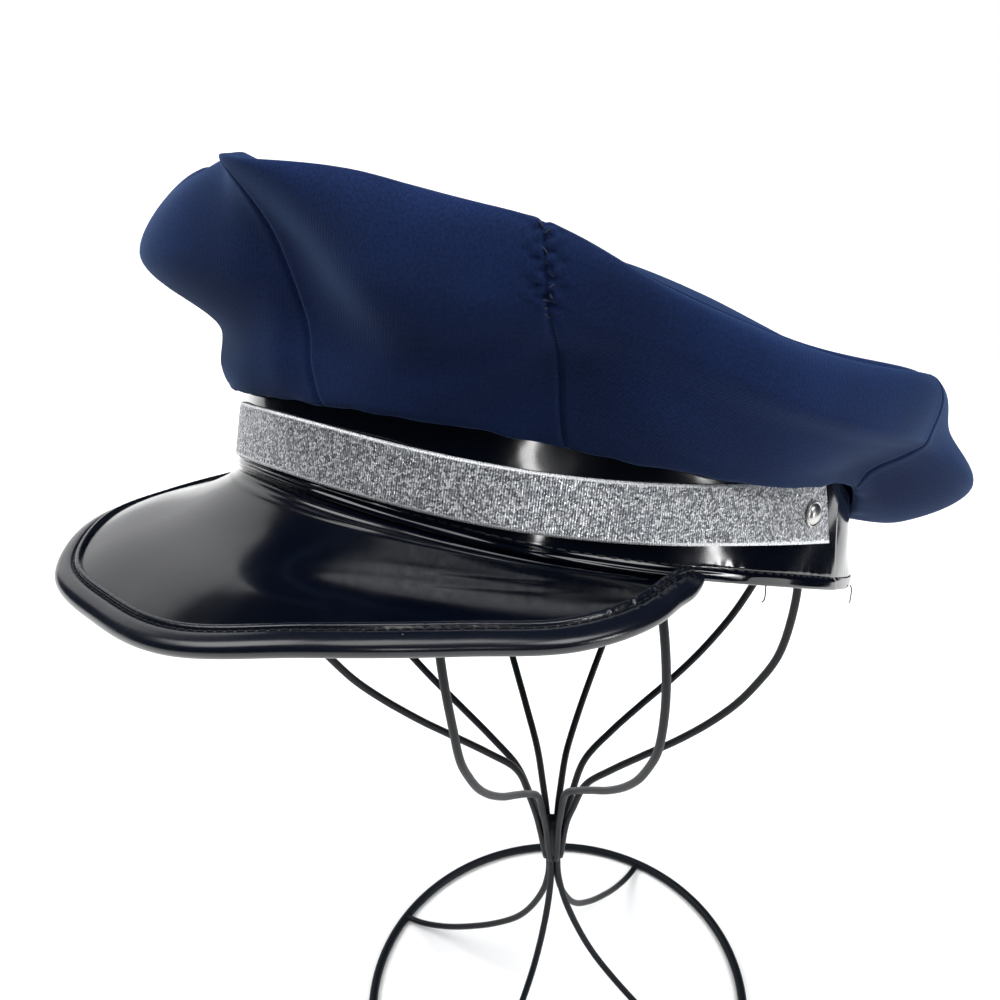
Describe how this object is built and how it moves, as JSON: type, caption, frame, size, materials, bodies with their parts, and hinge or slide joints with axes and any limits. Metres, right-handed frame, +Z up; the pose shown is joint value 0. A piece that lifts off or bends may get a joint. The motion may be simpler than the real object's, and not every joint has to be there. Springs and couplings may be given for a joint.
{
  "type": "police cap on wire hat stand",
  "caption": "Soft peaked police cap with glossy band, metallic strap and curved visor, tilted on a welded wire hat stand with a round base ring.",
  "frame": {"origin": "on the ground under the middle of the whole outline", "axes": "+Z up along the stand; the cap's visor faces -Y and the wearer's left side faces +X"},
  "size_m": [0.2288, 0.265, 0.3776],
  "materials": {
    "navy_cloth": "fine twill",
    "black_vinyl": "patent gloss",
    "binding_vinyl": "patent gloss, stitched",
    "silver_ribbon": "woven metallic yarn",
    "rivet_metal": "polished",
    "black_wire": "satin"
  },
  "bodies": {
    "root": {"crown": "navy_cloth", "band": "black_vinyl", "visor": "black_vinyl", "visor_binding": "binding_vinyl", "strap": "silver_ribbon", "rivet_left": "rivet_metal", "rivet_right": "rivet_metal", "base_ring": "black_wire", "neck_weld": "black_wire", "top_weld": "black_wire", "head_wire_1": "black_wire", "head_wire_2": "black_wire", "head_wire_3": "black_wire", "head_wire_4": "black_wire", "head_wire_5": "black_wire", "head_wire_6": "black_wire", "head_wire_7": "black_wire", "head_wire_8": "black_wire", "leg_wire_1": "black_wire", "leg_wire_2": "black_wire", "leg_wire_3": "black_wire", "leg_wire_4": "black_wire"}
  },
  "joints": []
}
